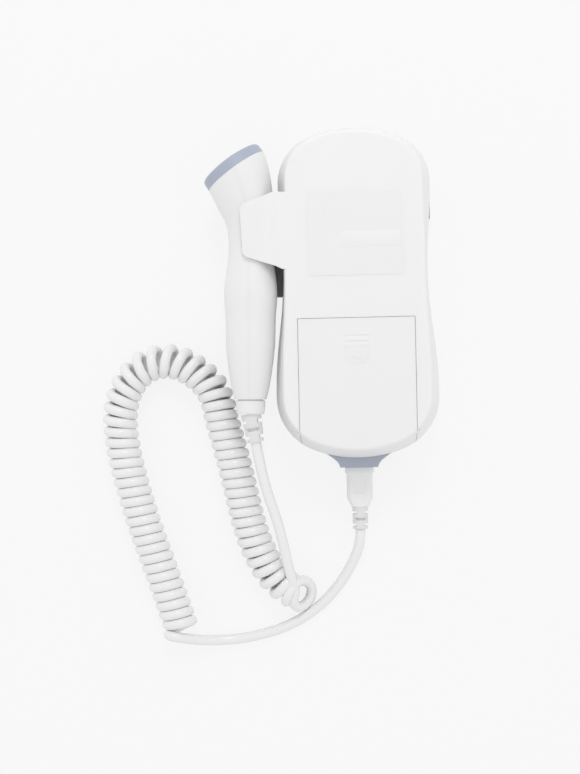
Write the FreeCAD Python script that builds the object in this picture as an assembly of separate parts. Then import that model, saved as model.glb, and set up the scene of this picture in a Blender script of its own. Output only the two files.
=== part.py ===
"""Hand-held fetal doppler monitor with its probe in the side clip and its curly cord.

The unit lies on its front.  The origin is the middle of the flat front face, +Z runs out
through the back, +Y to the top end, and the probe hangs on the -X side.  Millimetres.
"""
import FreeCAD, Part
import math
import os

Vector = FreeCAD.Vector

# ---------------------------------------------------------------- the unit's outline
top_end = 68.0             # the ends of the unit, from the origin
bottom_end = -68.0
shoulder_y = 45.5          # the upper corners start here
shoulder_half = 31.3       # half of the width across the shoulders
shoulder_r = 20.3
waist_y = 10.0
waist_half = 29.8
hip_y = -42.5              # the lower corners start here
hip_half = 33.5
hip_r = 23.6
side_hold = 0.45           # share of a side curve over which it holds its direction

# ---------------------------------------------------------------- shells and walls
front_depth = 12.5         # front cover, from the rest face
band_depth = 3.0           # coloured band between the covers
rear_depth = 19.5          # rear cover above the band
front_draft = 1.6          # how far the front face is drawn in
back_draft = 3.9           # how far the back face is drawn in all round
waist_draft = 1.6          # except at the waist
front_edge_r = 2.6
back_edge_r = 1.5
wall = 2.0
lip = 1.0                  # inner lip that lines the covers up
lip_drop = 3.6             # how far the lip reaches past the joint
gap = 0.15                 # clearance between fixed pieces
slip = 0.25                # clearance round pieces that slide by hand

# ---------------------------------------------------------------- battery door and bay
door_half = 23.4
door_y = -11.15            # upper edge of the door
door_wall = 1.8
door_tongue = 1.0          # side tongue that runs in the cover's groove
tongue_depth = 1.4
bay_wall = 1.5
bay_depth = 11.4           # from the bay's floor to the door
grip_y = -18.5             # first finger groove
grip_pitch = 2.4
grip_count = 3
grip_length = 9.4
grip_r = 0.8
grip_depth = 0.3
dish_y = -25.2             # thumb dish, deepest at its lower edge
dish_r = 5.3
dish_depth = 0.6
arrow_y = -27.4            # raised mark in the dish that shows which way the door slides
arrow_length = 2.3
arrow_width = 0.5
arrow_height = 0.3
pack_length = 42.0
pack_depth = 10.8
pack_edge_r = 1.6
pack_room = 0.5            # between the pack and the heads of the screws beside it
contact_size = 2.6
contact_count = 3
contact_pitch = 8.0
contact_foot = 0.4

# ---------------------------------------------------------------- fasteners
case_screw_x = door_half - 3.1
case_screw_y = (-15.5, -51.5)
case_screw_r = 1.2
case_head_r = 2.4
case_head_depth = 1.8
case_screw_length = 13.0
boss_wall = 1.8
screw_room = 0.3           # round a screw in the piece that it clamps
thread_room = 0.05         # round a screw in the post that it bites into
board_screw_x = 19.5
board_screw_y = (-6.0, 53.5)
board_screw_r = 0.75
board_head_r = 1.8
board_head_depth = 1.2

# ---------------------------------------------------------------- display and board
lens_y = 33.5
lens_width = 46.0
lens_height = 31.0
lens_corner_r = 4.0
lens_depth = 1.5
lens_ledge = 2.0
lens_recess = 0.3
lcd_depth = 3.0
lcd_corner_r = 0.8
board_depth = 1.6
board_inset = 5.0
board_low_y = -8.5
board_high_y = 58.0

# ---------------------------------------------------------------- keys
power_key_r = 6.5
power_key_y = 8.5
volume_key_r = 4.4
volume_key_x = 15.5
volume_key_y = 9.0
key_flange = 0.9
key_flange_depth = 1.0
key_travel = 0.5
key_recess = 0.3
dome_r = 2.4
mat_depth = 0.9
side_key_y = 34.0
side_key_length = 7.2
side_key_height = 3.6
side_key_proud = 0.9
side_key_travel = 0.5
key_seat = 0.7             # room for the cover's slope and curve behind the side key's wall
switch_length = 6.0
switch_depth = 3.5
plunger_length = 2.6
plunger_height = 1.6
plunger_proud = 0.9

# ---------------------------------------------------------------- speaker
speaker_y = -36.0
speaker_r = 16.5
speaker_rim = 2.0
speaker_depth = 6.5
magnet_r = 8.0
magnet_depth = 2.5
grille_hole_r = 1.0
grille_pitch = 3.6
grille_rings = 3

# ---------------------------------------------------------------- sockets
jack_x = 11.0
jack_bore_r = 1.8          # 3.5 mm earphone plug
jack_bore_length = 12.0
dc_bore_r = 1.75           # 3.5 mm charging plug
dc_bore_length = 9.0
jack_nose_r = 2.4
jack_body = 7.0
jack_height = 5.0
socket_width = 11.0
socket_height = 6.4
socket_length = 9.0

# ---------------------------------------------------------------- flare, plug
flare_root_half = 15.0     # half width inside the covers
flare_half = 12.1          # where it comes out of the covers
flare_tip_half = 7.8
flare_tip_y = -72.0
flare_height = 10.6
flare_hollow = 1.2         # half width over the tip's, halfway along
plug_z = 7.0               # axis of the socket and the plug
plug_gap = 0.3
flange_width = 11.9
flange_height = 8.2
flange_length = 2.4
plug_width = 10.7
plug_height = 7.4
plug_length = 14.0
plug_corner_r = 2.6
contact_shell_width = 8.2
contact_shell_height = 3.6
contact_shell_length = 7.0
contact_wall = 0.5
plug_relief_r = 3.3
plug_relief_tip_r = 3.1
plug_relief_length = 9.4
relief_groove = 0.7        # depth of the grooves that let a strain relief bend

# ---------------------------------------------------------------- label
label_x = 0.3
label_y = 22.4
label_width = 38.0
label_height = 33.0
label_depth = 0.15
label_corner_r = 0.8

# ---------------------------------------------------------------- probe
probe_z = 23.5
head_x = -47.6             # middle of the head's rim
head_y = 50.0
head_r = 13.7
head_tilt = 34.5           # the head leans out from the unit, degrees
neck_x = -42.4
neck_y = 20.7
neck_r = 8.95
grip_x = -42.85            # fullest part of the handle
grip_centre_y = -3.5
handle_r = 10.7
tail_x = -43.75
tail_y = -43.0
tail_r = 6.5
handle_tilt = -1.2
probe_wall = 1.8
split_shift = 0.1          # the shells' joint lies this far to the outer side
cap_depth = 6.0
cap_dome = 1.6
cap_edge_r = 1.4
cap_spigot = 3.0
disc_r = 9.5
disc_depth = 1.4
disc_gap = 0.8
probe_board_length = 46.0
collar_r = 6.1
collar_tip_r = 5.7
collar_length = 5.6
collar_gap = 0.4
probe_relief_r = 4.2
probe_relief_tip_r = 3.2
probe_relief_length = 11.6
probe_relief_lean = 9.0    # the cord leaves the handle leaning towards the unit, degrees

# ---------------------------------------------------------------- clip
clip_gap = 0.3             # room between the probe and the clip
arm_thickness = 2.0
arm_root_high = 39.9
arm_tip_high = 34.8
arm_tip_low = 14.6
arm_root_low = 10.4
arm_root_drop = 1.3        # the lower edge falls a little more where it meets the unit
arm_tip_x = -45.7
arm_corner_r = 3.0
arm_valley_x = -34.6
arm_valley_depth = 0.5
arm_tip_drop = 1.5         # how far the tip curls down over the neck
cradle_low = -0.8
cradle_high = 37.5
cradle_tip_x = -44.0
cradle_thickness = 2.6
cradle_peg_r = 0.9         # pegs that hold the front arm in the cover's side
cradle_peg_inset = 6.0
pad_thickness = 2.0
pad_top = 18.0

# ---------------------------------------------------------------- cord
cord_d = 4.0
coil_d = 14.6              # over the turns of the curly stretch
cord_room = 0.3            # round the cord in the pieces that it runs through
floor_gap = 0.05

# ---------------------------------------------------------------- worked out once
band_z = front_depth
rear_z = front_depth + band_depth
back_z = rear_z + rear_depth
pack_half = case_screw_x - case_head_r - pack_room
bay_floor_z = back_z - door_wall - bay_depth
lens_z = lens_recess
lcd_z = lens_z + lens_depth + 0.2
board_z = lcd_z + lcd_depth + 0.3
board_back_z = board_z + board_depth
flare_y = bottom_end + 0.9
plug_y = flare_tip_y - plug_gap
plug_end_y = plug_y - flange_length - plug_length
plug_relief_end_y = plug_end_y - plug_relief_length
relief_start_y = tail_y - collar_gap - collar_length
cradle_top = probe_z - handle_r - clip_gap - pad_thickness
arm_root_x = -waist_half + back_draft + wall


# ================================================================ small helpers
def box(x_range, y_range, z_range):
    low = Vector(x_range[0], y_range[0], z_range[0])
    return Part.makeBox(x_range[1] - x_range[0], y_range[1] - y_range[0],
                        z_range[1] - z_range[0], low)


def post(x, y, z_range, radius):
    return Part.makeCylinder(radius, z_range[1] - z_range[0], Vector(x, y, z_range[0]))


def rounded_block(centre, size, corner_r, along=2):
    """Box with the four edges that run along one axis rounded."""
    low = [centre[i] - size[i] / 2 for i in range(3)]
    block = Part.makeBox(size[0], size[1], size[2], Vector(*low))
    edges = []
    for edge in block.Edges:
        direction = edge.Vertexes[1].Point - edge.Vertexes[0].Point
        if abs(abs(direction[along]) - size[along]) < 1e-6 and direction.Length > 1e-6:
            edges.append(edge)
    return block.makeFillet(corner_r, edges)


def joined(shapes):
    return shapes[0].fuse(shapes[1:]).removeSplitter() if len(shapes) > 1 else shapes[0]


def cut_away(shape, tools):
    for tool in tools:
        shape = shape.cut(tool)
    return shape


def group(shapes):
    return Part.makeCompound(shapes)


def level_edges(shape, z):
    """Edges that lie flat at one height."""
    return [e for e in shape.Edges if abs(e.BoundBox.ZMin - z) < 1e-4 and abs(e.BoundBox.ZMax - z) < 1e-4]


def ring_profile(points):
    """Solid of revolution about +Y from (radius, y) points."""
    wire = Part.makePolygon([Vector(r, y, 0) for r, y in points] + [Vector(points[0][0], points[0][1], 0)])
    return Part.Face(wire).revolve(Vector(0, 0, 0), Vector(0, 1, 0), 360)


# ================================================================ the unit's outline
def crown_radius(rise, corner_x, corner_r):
    """Radius of the arc across an end that runs smoothly into both corners."""
    return (corner_x ** 2 + rise ** 2 - corner_r ** 2) / (2 * (rise - corner_r))


def end_arcs(end_y, half, corner_y, corner_r, inset, z):
    """Corner, crown and corner of one end, from the +X side over to the -X side."""
    up = 1 if end_y > corner_y else -1
    corner_x = half - corner_r
    crown_r = crown_radius(abs(end_y - corner_y), corner_x, corner_r)
    crown_centre_y = end_y - up * crown_r
    sweep = math.atan2(abs(corner_y - crown_centre_y), corner_x)
    r = corner_r - inset

    def on_corner(side, angle):
        return Vector(side * (corner_x + r * math.cos(angle)), corner_y + up * r * math.sin(angle), z)

    right = Part.Arc(on_corner(1, 0), on_corner(1, sweep / 2), on_corner(1, sweep))
    top = Part.Arc(on_corner(1, sweep), Vector(0, end_y - up * inset, z), on_corner(-1, sweep))
    left = Part.Arc(on_corner(-1, sweep), on_corner(-1, sweep / 2), on_corner(-1, 0))
    return [right.toShape(), top.toShape(), left.toShape()]


def side_curve(start, end):
    """Gentle side of the unit that leaves and arrives along the unit's length."""
    reach = Vector(0, side_hold * (end.y - start.y), 0)
    curve = Part.BezierCurve()
    curve.setPoles([start, start + reach, end - reach, end])
    return curve.toShape()


def waist_ease(z):
    """How much less than the rest the waist is drawn in at height z of the rear cover."""
    return max(0.0, (back_draft - waist_draft) * (z - rear_z) / rear_depth)


def outline(inset, z):
    """Closed outline of the unit at height z, drawn in by inset."""
    shoulder = Vector(shoulder_half - inset, shoulder_y, z)
    waist = Vector(waist_half - inset + waist_ease(z), waist_y, z)
    hip = Vector(hip_half - inset, hip_y, z)

    def left(point):
        return Vector(-point.x, point.y, z)

    edges = [side_curve(waist, shoulder)]
    edges += end_arcs(top_end, shoulder_half, shoulder_y, shoulder_r, inset, z)
    edges += [side_curve(left(shoulder), left(waist)), side_curve(left(waist), left(hip))]
    bottom = end_arcs(bottom_end, hip_half, hip_y, hip_r, inset, z)
    edges += [edge for edge in reversed(bottom)]
    edges.append(side_curve(hip, waist))
    return Part.Wire(edges)


def block_between(inset_low, z_low, inset_high, z_high):
    return Part.makeLoft([outline(inset_low, z_low), outline(inset_high, z_high)], True, True)


def front_inset(z):
    return front_draft * (1 - z / front_depth)


def back_inset(z):
    return back_draft * (z - rear_z) / rear_depth


def front_block(extra=0.0, z_low=0.0):
    """Front cover's outer form, or the same drawn in by extra for its hollow."""
    return block_between(front_inset(z_low) + extra, z_low, extra, front_depth)


def rear_block(extra=0.0, z_high=None):
    """Rear cover's outer form, or the same drawn in by extra for its hollow."""
    top = back_z if z_high is None else z_high
    return block_between(extra, rear_z, back_inset(top) + extra, top)


def unit_block():
    """Whole outer form of the unit, for what lies against its side."""
    band = block_between(0, band_z, 0, rear_z)
    return joined([front_block(), band, rear_block()])


# ================================================================ probe form
def station(start, end, along, sideways, swell, tilt):
    """Section between two others: shares of the way in height, sideways place and radius."""
    return (start[0] + (end[0] - start[0]) * along, start[1] + (end[1] - start[1]) * sideways,
            start[2] + (end[2] - start[2]) * swell, tilt)


def probe_stations():
    """Height, sideways place, radius and tilt of the probe's round sections, head first."""
    head = (head_y, head_x, head_r, head_tilt)
    neck = (neck_y, neck_x, neck_r, 0.2 * head_tilt)
    grip = (grip_centre_y, grip_x, handle_r, handle_tilt)
    tail = (tail_y, tail_x, tail_r, handle_tilt)
    return [
        head,
        station(head, neck, 0.15, 0.33, 0.085, 0.98 * head_tilt),
        station(head, neck, 0.43, 0.79, 0.425, 0.81 * head_tilt),
        station(head, neck, 0.70, 1.02, 0.79, 0.54 * head_tilt),
        neck,
        station(neck, grip, 0.33, 0.20, 0.27, 0.0),
        station(neck, grip, 0.63, 0.50, 0.85, handle_tilt),
        grip,
        station(grip, tail, 0.43, 0.45, 0.17, handle_tilt),
        station(grip, tail, 0.76, 0.80, 0.52, handle_tilt),
        station(grip, tail, 0.925, 0.94, 0.81, handle_tilt),
        tail,
    ]


def tilted_ring(x, y, radius, tilt):
    """Circle across the probe, its seam always at the top so that a loft doesn't twist."""
    circle = Part.Circle(Vector(0, 0, 0), Vector(0, 1, 0), radius).toShape()
    circle.rotate(Vector(0, 0, 0), Vector(0, 0, 1), tilt)
    circle.translate(Vector(x, y, probe_z))
    return Part.Wire([circle])


def probe_form(extra=0.0):
    """Probe's outer form from rim to tail, swelled by extra (or shrunk for its hollow)."""
    rings = [tilted_ring(x, y, r + extra, tilt) for y, x, r, tilt in probe_stations()]
    return Part.makeLoft(rings, True, False)


def half_width_at(y, extra):
    """Straight-line radius of the probe at one height along the unit, for the clip."""
    stations = probe_stations()
    for above, below in zip(stations, stations[1:]):
        if below[0] <= y <= above[0]:
            t = (above[0] - y) / (above[0] - below[0])
            return above[2] + (below[2] - above[2]) * t + extra
    return stations[-1][2] + extra


def probe_path_out(extra):
    """Room that the probe sweeps as it slides out of the clip towards -X."""
    heights = [place[0] for place in probe_stations()[2:8]]
    top = [Vector(0, y, probe_z + half_width_at(y, extra)) for y in heights]
    bottom = [Vector(0, y, probe_z - half_width_at(y, extra)) for y in reversed(heights)]
    face = Part.Face(Part.makePolygon(top + bottom + [top[0]]))
    face.translate(Vector(neck_x, 0, 0))
    return face.extrude(Vector(-2 * head_r, 0, 0))


def split_block():
    """Everything on the probe's outer side of the joint between its two half shells."""
    points = [Vector(x - split_shift, y, 0) for y, x, r, tilt in probe_stations()]
    ahead = Vector(-math.sin(math.radians(head_tilt)), math.cos(math.radians(head_tilt)), 0)
    points[0] = points[0] + ahead * 0.01
    points[-1] = points[-1] - Vector(0, 0.01, 0)
    line = Part.BSplineCurve()
    line.interpolate(points)
    far = tail_x - 4 * head_r
    rest = Part.makePolygon([points[-1], Vector(far, points[-1].y, 0), Vector(far, points[0].y, 0),
                             points[0]])
    face = Part.Face(Part.Wire([line.toShape()] + rest.Edges))
    return face.extrude(Vector(0, 0, 2 * back_z))


def placed_on_head(shape):
    """Turn a shape that is built about +Y from the origin onto the probe's tilted rim."""
    shape.rotate(Vector(0, 0, 0), Vector(0, 0, 1), head_tilt)
    shape.translate(Vector(head_x, head_y, probe_z))
    return shape


def placed_on_tail(shape):
    shape.rotate(Vector(0, 0, 0), Vector(0, 0, 1), handle_tilt)
    shape.translate(Vector(tail_x, tail_y, probe_z))
    return shape


# ================================================================ front cover and what it holds
def case_screw_places():
    return [(side * case_screw_x, y) for y in case_screw_y for side in (-1, 1)]


def board_screw_places():
    return [(side * board_screw_x, y) for y in board_screw_y for side in (-1, 1)]


def key_places():
    return {
        "power_key": (0.0, power_key_y, power_key_r),
        "volume_down_key": (-volume_key_x, volume_key_y, volume_key_r),
        "volume_up_key": (volume_key_x, volume_key_y, volume_key_r),
    }


def grille_places():
    """Middle hole and rings of holes, six more in each ring."""
    places = [(0.0, speaker_y)]
    for ring in range(1, grille_rings + 1):
        count = 6 * ring
        radius = ring * grille_pitch
        for i in range(count):
            angle = 2 * math.pi * i / count
            places.append((radius * math.cos(angle), speaker_y + radius * math.sin(angle)))
    return places


def side_key_wall_x():
    """Outer face of the front cover beside the side key, at the key's height."""
    key_z = board_back_z + switch_depth / 2
    section = front_block().slice(Vector(0, 1, 0), side_key_y)
    points = [v.Point for wire in section for v in wire.Vertexes if v.Point.x > 0]
    low = min(points, key=lambda p: p.z)
    high = max(points, key=lambda p: p.z)
    return low.x + (high.x - low.x) * (key_z - low.z) / (high.z - low.z)


def cradle_pegs(room=0.0):
    """Two pegs of the front arm through the cover's side, or with room added their holes."""
    middle_z = cradle_top - cradle_thickness / 2
    length = shoulder_half - waist_half + 2 * wall
    outer_x = -shoulder_half - wall / 2
    return [Part.makeCylinder(cradle_peg_r + room, length, Vector(outer_x, y, middle_z), Vector(1, 0, 0))
            for y in (cradle_low + cradle_peg_inset, cradle_high - cradle_peg_inset)]


def cradle_arm():
    """Front arm of the probe clip: a shelf under the probe's neck, pegged to the cover's side."""
    root_x = -waist_half + wall
    shelf = rounded_block(((cradle_tip_x + root_x) / 2, (cradle_low + cradle_high) / 2,
                           cradle_top - cradle_thickness / 2),
                          (root_x - cradle_tip_x, cradle_high - cradle_low, cradle_thickness), arm_corner_r)
    return joined([shelf.cut(front_block(-gap))] + cradle_pegs())


def flare_plan(grow=0.0):
    """Plan of the flare: wide where it leaves the covers, narrowing in hollow curves to its tip."""
    inside_y = flare_y + 6.0
    tip = flare_tip_y - grow
    right = [Vector(flare_root_half + grow, inside_y, 0), Vector(flare_half + grow, flare_y, 0),
             Vector(flare_tip_half + flare_hollow + grow, (flare_y + tip) / 2, 0),
             Vector(flare_tip_half + grow, tip, 0)]
    left = [Vector(-p.x, p.y, 0) for p in reversed(right)]
    curve_right = Part.BSplineCurve()
    curve_right.interpolate(right)
    curve_left = Part.BSplineCurve()
    curve_left.interpolate(left)
    edges = [curve_right.toShape(), Part.makeLine(right[-1], left[0]), curve_left.toShape(),
             Part.makeLine(left[-1], right[0])]
    return Part.Face(Part.Wire(edges))


def flare_block(grow=0.0):
    low = plug_z - flare_height / 2 - grow
    face = flare_plan(grow)
    face.translate(Vector(0, 0, low))
    return face.extrude(Vector(0, 0, rear_z - gap - low if grow == 0 else rear_z - low))


def front_cover():
    outer = front_block()
    outer = outer.makeFillet(front_edge_r, level_edges(outer, 0.0))
    shell = outer.cut(front_block(wall, wall))
    posts = [post(x, y, (wall, rear_z - gap), case_screw_r + boss_wall) for x, y in case_screw_places()]
    posts += [post(x, y, (wall, board_z), board_screw_r + boss_wall / 1.3) for x, y in board_screw_places()]
    posts.append(post(0, speaker_y, (wall, wall + 3), speaker_r + gap + 1.2))
    cover = joined([shell] + posts)
    tools = [post(0, speaker_y, (wall, back_z), speaker_r + gap)]
    tools += [post(x, y, (wall + 1, back_z), case_screw_r + thread_room) for x, y in case_screw_places()]
    tools += [post(x, y, (wall, back_z), board_screw_r + thread_room) for x, y in board_screw_places()]
    tools += [post(x, y, (-1, wall + 1), r + slip) for x, y, r in key_places().values()]
    tools += [post(x, y, (-1, wall + 1), grille_hole_r) for x, y in grille_places()]
    tools += lens_window()
    tools.append(side_key_window())
    tools += [jack_hole(side * jack_x) for side in (-1, 1)]
    tools.append(flare_block(gap))
    return cut_away(cover, tools + cradle_pegs(gap))


def lens_window():
    """Recess for the lens and the opening behind it that leaves a ledge all round."""
    recess = rounded_block((0, lens_y, lens_z + lens_depth / 2 - 1),
                           (lens_width + 2 * gap, lens_height + 2 * gap, lens_depth + 2), lens_corner_r)
    opening = rounded_block((0, lens_y, wall), (lens_width - 2 * lens_ledge, lens_height - 2 * lens_ledge,
                                                2 * wall), lens_corner_r - lens_ledge)
    return [recess, opening]


def side_key_window():
    key_z = board_back_z + switch_depth / 2
    outer_x = side_key_wall_x()
    return rounded_block((outer_x, side_key_y, key_z),
                         (3 * wall, side_key_length + 2 * slip, side_key_height + 2 * slip), 0.6, 0)


def jack_hole(x):
    return jack_cylinder(x, jack_nose_r + gap, top_end - 3 * wall, top_end + wall)


def jack_cylinder(x, radius, y_low, y_high):
    axis_z = board_back_z + jack_height / 2
    return Part.makeCylinder(radius, y_high - y_low, Vector(x, y_low, axis_z), Vector(0, 1, 0))


def trim_band():
    """Coloured band between the covers, which opens into the flare round the probe socket."""
    ring = block_between(0, band_z, 0, rear_z).cut(block_between(wall, band_z, wall, rear_z))
    flare = flare_block()
    band = joined([ring, flare])
    hole = rounded_block((0, flare_tip_y + socket_length, plug_z),
                         (socket_width + 2 * gap, 3 * socket_length, socket_height + 2 * gap), 0.8, 1)
    pocket = flare_plan(-wall)
    low = plug_z - flare_height / 2 + wall
    pocket.translate(Vector(0, wall + 1, low))
    hollow = pocket.extrude(Vector(0, 0, rear_z - low))
    return band.cut(hole).cut(hollow.cut(box((-50, 50), (-100, flare_y + 2), (0, 50))))


def probe_socket():
    body = rounded_block((0, flare_tip_y + 0.3 + socket_length / 2, plug_z),
                         (socket_width, socket_length, socket_height), 0.6, 1)
    mouth_size = (contact_shell_width + 2 * gap, contact_shell_length + 2, contact_shell_height + 2 * gap)
    mouth = rounded_block((0, flare_tip_y + contact_shell_length / 2, plug_z), mouth_size, 0.6, 1)
    return body.cut(mouth)


def display_lens():
    return rounded_block((0, lens_y, lens_z + lens_depth / 2), (lens_width, lens_height, lens_depth),
                         lens_corner_r)


def lcd_module():
    width = lens_width - 2 * lens_ledge + 2
    height = lens_height - 2 * lens_ledge + 2
    return rounded_block((0, lens_y, wall + gap + lcd_depth / 2), (width, height, lcd_depth), lcd_corner_r)


def main_board():
    """Printed circuit board that follows the unit's outline, on four posts of the front cover."""
    sheet = block_between(board_inset, board_z, board_inset, board_back_z)
    sheet = sheet.common(box((-60, 60), (board_low_y, board_high_y), (board_z, board_back_z)))
    through = (board_z - 1, board_back_z + 1)
    holes = [post(x, y, through, board_screw_r + screw_room) for x, y in board_screw_places()]
    return cut_away(sheet, holes)


def board_screws():
    return group([screw(x, y, board_back_z, board_head_r, board_head_depth, board_screw_r, board_depth + 2.0)
                  for x, y in board_screw_places()])


def screw(x, y, seat_z, head_r, head_depth, shank_r, length):
    """Pan-head screw with a cross recess, head up."""
    head = post(x, y, (seat_z, seat_z + head_depth), head_r)
    head = head.makeFillet(head_depth * 0.4, level_edges(head, seat_z + head_depth))
    shank = post(x, y, (seat_z - length, seat_z), shank_r)
    slot = 0.3 * head_r
    cross = [box((x - a, x + a), (y - b, y + b), (seat_z + head_depth / 2, seat_z + 2 * head_depth))
             for a, b in ((slot / 2, 2 * slot), (2 * slot, slot / 2))]
    return cut_away(joined([head, shank]), cross)


def case_screws():
    return group([screw(x, y, bay_floor_z, case_head_r, case_head_depth, case_screw_r, case_screw_length)
                  for x, y in case_screw_places()])


def round_key(x, y, radius):
    """Key cap in its hole, with a flange inside the cover that stops it falling out."""
    flange_z = wall + 0.1
    cap = post(x, y, (key_recess, flange_z), radius)
    cap = cap.makeFillet(0.5, level_edges(cap, key_recess))
    flange = post(x, y, (flange_z, flange_z + key_flange_depth), radius + key_flange)
    return joined([cap, flange])


def key_mat():
    """Silicone mat on the board with a dome under each front key."""
    key_back = wall + 0.1 + key_flange_depth
    mat_z = board_z - mat_depth
    mat = rounded_block((0, power_key_y, mat_z + mat_depth / 2),
                        (2 * (volume_key_x + dome_r), 2 * power_key_r, mat_depth), 2.0)
    domes = [post(x, y, (key_back + key_travel + 0.05, mat_z), dome_r) for x, y, r in key_places().values()]
    return joined([mat] + domes)


def side_key():
    key_z = board_back_z + switch_depth / 2
    outer_x = side_key_wall_x() + side_key_proud
    inner_x = side_key_wall_x() - wall - key_seat
    cap = rounded_block(((outer_x + inner_x) / 2, side_key_y, key_z),
                        (outer_x - inner_x, side_key_length, side_key_height), 0.5, 0)
    flange = rounded_block((inner_x - 0.4, side_key_y, key_z),
                           (0.8, side_key_length + 1.6, side_key_height + 1.4), 0.5, 0)
    return joined([cap, flange])


def side_switch():
    """Push switch on the edge of the board behind the side key."""
    key_z = board_back_z + switch_depth / 2
    key_back = side_key_wall_x() - wall - key_seat - 0.8
    plunger_x = key_back - side_key_travel - 0.1
    body_x = plunger_x - plunger_proud
    body = box((body_x - switch_depth, body_x),
               (side_key_y - switch_length / 2, side_key_y + switch_length / 2),
               (board_back_z, board_back_z + switch_depth))
    plunger = rounded_block(((plunger_x + body_x) / 2, side_key_y, key_z),
                            (plunger_x - body_x, plunger_length, plunger_height), 0.3, 0)
    return joined([body, plunger])


def speaker():
    """Round loudspeaker: rim, basket and magnet."""
    low = wall + 0.1
    profile = [(0, low + 1.0), (speaker_r - speaker_rim, low + 0.6), (speaker_r - speaker_rim, low),
               (speaker_r, low), (speaker_r, low + 1.6), (speaker_r - speaker_rim, low + 1.8),
               (magnet_r, low + speaker_depth - magnet_depth), (magnet_r, low + speaker_depth),
               (0, low + speaker_depth)]
    body = ring_profile(profile)
    body.rotate(Vector(0, 0, 0), Vector(1, 0, 0), 90)
    body.translate(Vector(0, speaker_y, 0))
    return body


def top_jack(x, bore_r, bore_length):
    """Socket on the board whose nose stands in the wall of the top end."""
    axis_z = board_back_z + jack_height / 2
    nose_y = top_end - 1.6
    inner_y = top_end - 5.2
    body = box((x - jack_body / 2, x + jack_body / 2), (inner_y - bore_length, inner_y),
               (board_back_z, board_back_z + jack_height))
    nose = jack_cylinder(x, jack_nose_r, inner_y, nose_y)
    bore = jack_cylinder(x, bore_r, nose_y - bore_length, nose_y + 1)
    return joined([body, nose]).cut(bore)


# ================================================================ rear cover, door and bay
def bay_block(extra, z_low, half, y_high):
    """Room of the battery bay that follows the rear cover's curved end."""
    form = rear_block(door_wall + extra, back_z - door_wall - slip)
    return form.common(box((-half, half), (bottom_end - 10, y_high), (z_low, back_z)))


def door_opening(grow=0.0):
    return box((-door_half - grow, door_half + grow), (bottom_end - 10, door_y + grow),
               (rear_z - 1, back_z + 1))


def tongue(side, room=0.0):
    """Strip along one edge of the door, or with room added the groove that it runs in."""
    span = sorted((side * (door_half - 0.8), side * (door_half + door_tongue + room)))
    top = back_z - door_wall - slip - gap
    roof = back_z - door_wall if room else top
    return box(span, (bottom_end - 10, door_y - 3 + 4 * room), (top - tongue_depth - room, roof))


def clip_arm_plan():
    """Rear arm of the clip seen from the back: a stub that widens towards the unit."""
    tip = [(arm_tip_x, arm_tip_high), (arm_tip_x + 0.8, arm_tip_low)]
    corners = [(arm_root_x, arm_root_high), (-shoulder_half - 1.6, arm_root_high)] + tip
    corners += [(-waist_half - 2.0, arm_root_low), (-waist_half + 0.6, arm_root_low - arm_root_drop),
                (arm_root_x, arm_root_low - 1.4 * arm_root_drop)]
    wire = Part.makePolygon([Vector(x, y, 0) for x, y in corners + corners[:1]])
    prism = Part.Face(wire).extrude(Vector(0, 0, 2 * back_z))
    rounded = []
    for edge in prism.Edges:
        foot = edge.Vertexes[0].Point
        upright = abs(edge.BoundBox.ZLength - 2 * back_z) < 1e-3
        if upright and any(abs(foot.x - x) < 1e-3 and abs(foot.y - y) < 1e-3 for x, y in tip):
            rounded.append(edge)
    return prism.makeFillet(arm_corner_r, rounded)


def arm_section(y, crest_z):
    """Section across the rear arm: level with the back, a shallow valley, then a crest over the neck."""
    valley_z = back_z - arm_valley_depth
    flat_x = -waist_half
    points = [(flat_x, back_z), (flat_x - 1.2, back_z - 0.05), (arm_valley_x, valley_z),
              ((arm_valley_x + neck_x) / 2, (valley_z + crest_z) / 2), (neck_x, crest_z),
              (arm_tip_x - 1.5, crest_z - arm_tip_drop)]
    top, under = Part.BSplineCurve(), Part.BSplineCurve()
    top.interpolate([Vector(x, y, z) for x, z in points])
    under.interpolate([Vector(x, y, z - arm_thickness) for x, z in reversed(points)])
    root_top, root_under = Vector(arm_root_x, y, back_z), Vector(arm_root_x, y, back_z - arm_thickness)
    edges = [Part.makeLine(root_top, top.StartPoint), top.toShape(),
             Part.makeLine(top.EndPoint, under.StartPoint), under.toShape(),
             Part.makeLine(under.EndPoint, root_under), Part.makeLine(root_under, root_top)]
    return Part.Wire(edges)


def clip_arm():
    """Rear arm of the clip, which rises along the unit as the probe grows towards its head."""
    crests = [probe_z + half_width_at(y, clip_gap + arm_thickness) for y in (arm_tip_low, arm_tip_high)]
    rise = (crests[1] - crests[0]) / (arm_tip_high - arm_tip_low)
    sections = [arm_section(y, crests[0] + rise * (y - arm_tip_low))
                for y in (arm_root_low - 6, arm_root_high + 1)]
    arm = Part.makeLoft(sections, True, True).common(clip_arm_plan())
    return arm.cut(probe_path_out(clip_gap)).cut(probe_form(clip_gap))


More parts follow.
